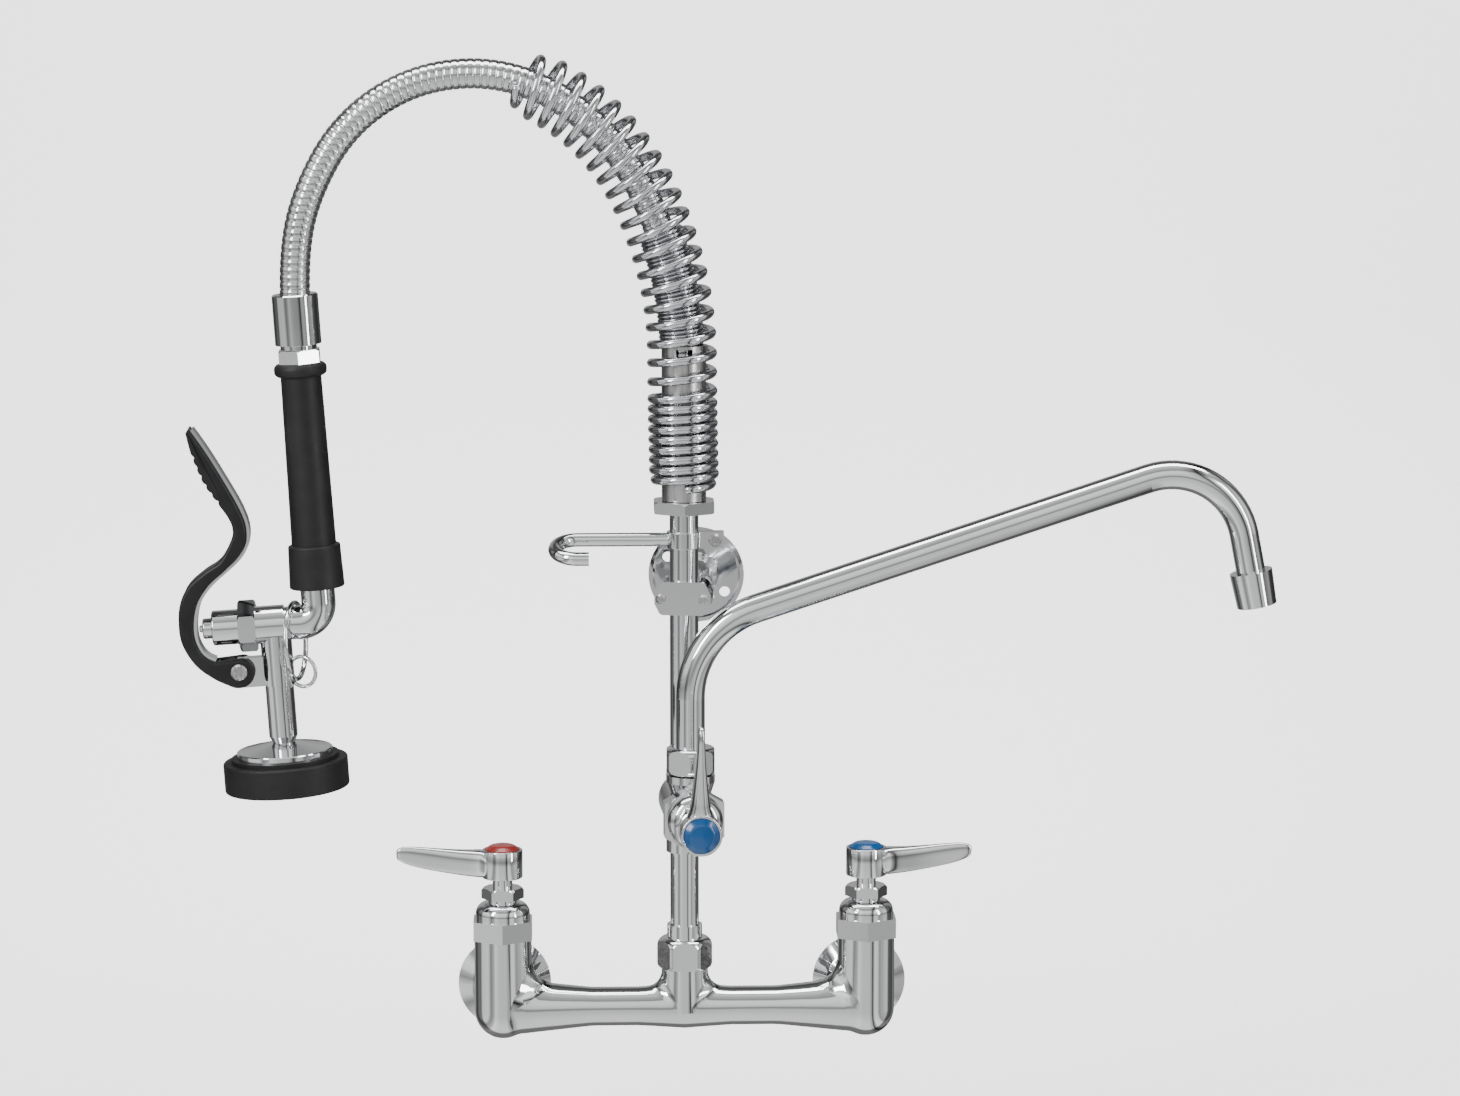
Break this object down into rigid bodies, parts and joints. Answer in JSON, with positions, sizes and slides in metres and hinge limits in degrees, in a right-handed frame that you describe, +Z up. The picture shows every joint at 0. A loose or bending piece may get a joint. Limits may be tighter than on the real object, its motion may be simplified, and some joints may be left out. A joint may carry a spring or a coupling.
{
  "type": "pre rinse faucet",
  "caption": "Wall-mounted pre-rinse faucet: mixing body with lever handles, riser with swing spout, spring-held hose arch and a squeeze-lever spray valve.",
  "frame": {"origin": "on the wall plane, midway between the two water inlets", "axes": "+X to the right facing the wall, +Y into the wall, +Z up"},
  "size_m": [0.6024, 0.1663, 0.5602],
  "materials": {
    "chrome": "polished",
    "satin_steel": "satin",
    "spring_steel": "polished",
    "hose_steel": "polished, ridged",
    "brass": "turned",
    "grip_rubber": "matte",
    "washer_rubber": "matte",
    "lever_plastic": "satin",
    "dark_plastic": "satin",
    "hot_red": "gloss",
    "cold_blue": "gloss"
  },
  "bodies": {
    "base": {"manifold_body": "chrome", "inlet_shanks": "satin_steel", "wall_flanges": "chrome", "hot_bonnet": "chrome", "cold_bonnet": "chrome", "addon_bonnet": "chrome", "packing_nuts": "chrome", "addon_packing_nut": "chrome", "riser_lock_nut": "chrome", "lower_riser": "chrome", "upper_riser": "chrome", "addon_body": "chrome", "spout_nut": "chrome", "finger_hook": "chrome", "hook_screw": "satin_steel", "clamp_front_plate": "chrome", "clamp_back_plate": "chrome", "clamp_screws": "satin_steel", "bracket_rod": "chrome", "bracket_flange": "chrome", "spring_seat_nut": "chrome"},
    "hot_valve": {"hot_stem": "chrome", "hot_seat_washer": "washer_rubber", "hot_handle_screw": "satin_steel", "hot_index": "hot_red", "hot_handle": "chrome"},
    "cold_valve": {"cold_stem": "chrome", "cold_seat_washer": "washer_rubber", "cold_handle_screw": "satin_steel", "cold_index": "cold_blue", "cold_handle": "chrome"},
    "addon_valve": {"addon_stem": "chrome", "addon_seat_washer": "washer_rubber", "addon_handle_screw": "satin_steel", "addon_index": "cold_blue", "addon_handle": "chrome"},
    "spout": {"spout_tube": "chrome", "spout_orings": "washer_rubber", "aerator_shell": "chrome", "aerator_insert": "dark_plastic"},
    "arch": {"spring_sleeve": "satin_steel", "overhead_spring": "spring_steel", "guard_spring": "spring_steel", "hose": "hose_steel"},
    "hose_end": {"hose_collar": "chrome"},
    "sprayer": {"swivel_nut": "chrome", "grip_tube": "brass", "grip_sleeve": "grip_rubber", "spray_body": "chrome", "valve_bonnet_nut": "chrome", "spray_bell": "chrome", "bumper_ring": "grip_rubber", "spray_face": "dark_plastic", "lever_screw": "satin_steel", "plunger_spring": "satin_steel"},
    "squeeze_lever": {"lever": "chrome", "lever_cover": "lever_plastic"},
    "plunger_rod": {"plunger": "chrome"},
    "rings": {"hold_ring": "satin_steel", "link_ring": "satin_steel"}
  },
  "joints": [
    {"name": "hot_handle_turn", "type": "hinge", "parent": "base", "child": "hot_valve", "pos_m": [-0.1016, -0.0635, 0.08], "axis": [0, 0, 1], "range_deg": [0, 90]},
    {"name": "cold_handle_turn", "type": "hinge", "parent": "base", "child": "cold_valve", "pos_m": [0.1016, -0.0635, 0.08], "axis": [0, 0, 1], "range_deg": [-90, 0]},
    {"name": "addon_handle_turn", "type": "hinge", "parent": "base", "child": "addon_valve", "pos_m": [0.00337, -0.11288, 0.1205], "axis": [-0.068, 0.9977, 0], "range_deg": [0, 90]},
    {"name": "spout_swing", "type": "hinge", "parent": "base", "child": "spout", "pos_m": [0.00245, -0.09942, 0.16], "axis": [0, 0, 1], "range_deg": [-180, 0]},
    {"name": "arch_swing", "type": "hinge", "parent": "base", "child": "arch", "pos_m": [0, -0.0635, 0.29], "axis": [0, 0, 1], "range_deg": [-3, 90]},
    {"name": "sprayer_swing", "type": "hinge", "parent": "arch", "child": "hose_end", "pos_m": [-0.19, -0.0635, 0.5], "axis": [-1, 0, 0], "range_deg": [-2, 60], "deforming": ["hose"]},
    {"name": "sprayer_turn", "type": "hinge", "parent": "hose_end", "child": "sprayer", "pos_m": [-0.21062, -0.0635, 0.3714], "axis": [-0.0628, 0, 0.998], "range_deg": [-20, 90]},
    {"name": "trigger", "type": "hinge", "parent": "sprayer", "child": "squeeze_lever", "pos_m": [-0.2455, -0.0635, 0.19487], "axis": [0, 1, 0], "range_deg": [0, 12], "stiffness_Nm_per_rad": 4, "springref_deg": -5.73, "deforming": ["plunger_spring"]},
    {"name": "plunger_slide", "type": "slide", "parent": "sprayer", "child": "plunger_rod", "axis": [0.998, 0, 0.0628], "range_m": [0, 0.0045]},
    {"name": "ring_swing", "type": "hinge", "parent": "sprayer", "child": "rings", "pos_m": [-0.21537, -0.0635, 0.22081], "axis": [-0.998, 0, -0.0628], "range_deg": [0, 35]}
  ],
  "couplings": [
    {"joint": "plunger_slide", "follows": "trigger", "m_per_rad": 0.0215}
  ]
}
